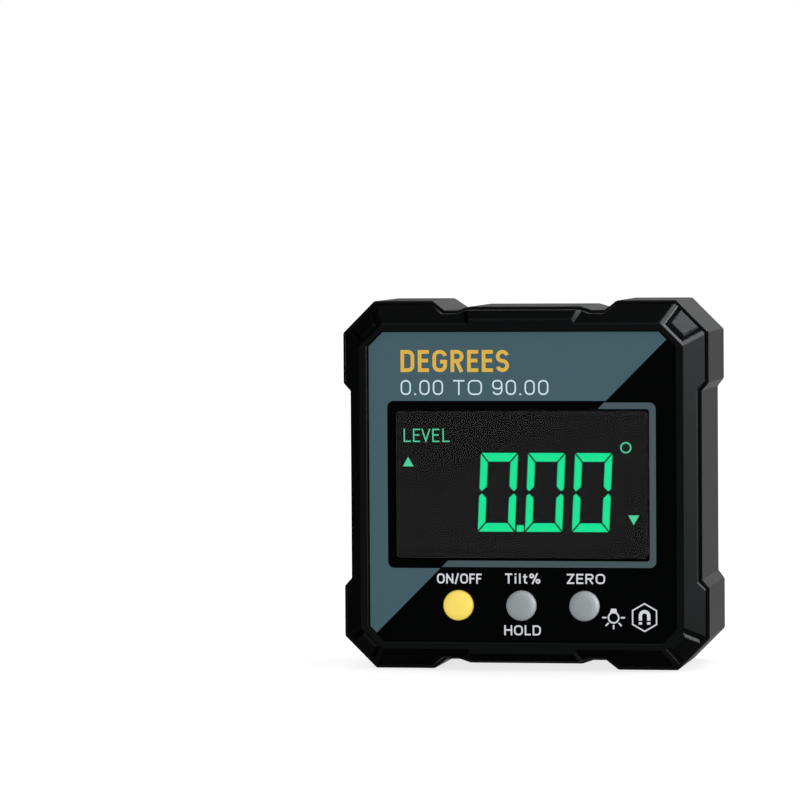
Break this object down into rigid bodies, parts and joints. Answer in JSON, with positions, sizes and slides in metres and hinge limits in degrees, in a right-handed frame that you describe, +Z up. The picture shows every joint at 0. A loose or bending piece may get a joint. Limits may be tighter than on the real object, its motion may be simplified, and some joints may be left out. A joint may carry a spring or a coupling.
{
  "type": "digital angle gauge",
  "caption": "Square black box that shows its own tilt on a display, with push buttons in front, lugs at its corners to rest on and magnets in its base.",
  "frame": {"origin": "middle of the base, at the level of the lugs that the gauge stands on", "axes": "+X to the right across the face, +Y from the face to the back, +Z up"},
  "size_m": [0.06, 0.0308, 0.06],
  "materials": {
    "shell": "fine satin moulding, black",
    "panel": "satin printed sheet, blue-grey and black",
    "pane": "clear, polished",
    "yellow_button": "satin, warm yellow",
    "grey_button": "satin, mid grey",
    "plunger": "moulded, dark",
    "switch": "plated",
    "display": "dark display glass",
    "white_plastic": "moulded, white",
    "lamp": "clear resin",
    "strip": "elastic contact strip",
    "board": "lacquered",
    "chip": "moulded, black",
    "can": "plated",
    "ceramic": "fired ceramic",
    "screw": "zinc plated",
    "cell": "plain sleeve",
    "contact": "nickel plated",
    "red_lead": "insulated wire",
    "black_lead": "insulated wire",
    "magnet": "nickel plated"
  },
  "bodies": {
    "housing": {"front_shell": "shell", "rear_shell": "shell", "face_panel": "panel", "display_window": "pane", "power_switch": "switch", "hold_switch": "switch", "zero_switch": "switch", "lcd_glass": "display", "lcd_frame": "white_plastic", "light_guide": "white_plastic", "backlight_lamps": "lamp", "upper_strip": "strip", "lower_strip": "strip", "main_board": "board", "controller": "chip", "tilt_sensor": "chip", "crystal": "can", "capacitors": "ceramic", "board_screws": "screw", "housing_screws": "screw", "upper_cell": "cell", "lower_cell": "cell", "bridge_contact": "contact", "positive_contact": "contact", "negative_contact": "contact", "positive_lead": "red_lead", "negative_lead": "black_lead", "left_front_magnet": "magnet", "left_rear_magnet": "magnet", "right_front_magnet": "magnet", "right_rear_magnet": "magnet"},
    "power_key": {"power_button": "yellow_button", "power_plunger": "plunger"},
    "hold_key": {"hold_button": "grey_button", "hold_plunger": "plunger"},
    "zero_key": {"zero_button": "grey_button", "zero_plunger": "plunger"},
    "cover": {"battery_cover": "shell"}
  },
  "joints": [
    {"name": "power_press", "type": "slide", "parent": "housing", "child": "power_key", "axis": [0, 1, 0], "range_m": [0, 0.0005], "stiffness_N_per_m": 1500},
    {"name": "hold_press", "type": "slide", "parent": "housing", "child": "hold_key", "axis": [0, 1, 0], "range_m": [0, 0.0005], "stiffness_N_per_m": 1500},
    {"name": "zero_press", "type": "slide", "parent": "housing", "child": "zero_key", "axis": [0, 1, 0], "range_m": [0, 0.0005], "stiffness_N_per_m": 1500},
    {"name": "cover_slide", "type": "slide", "parent": "housing", "child": "cover", "axis": [-1, 0, 0], "range_m": [0, 0.054]}
  ]
}
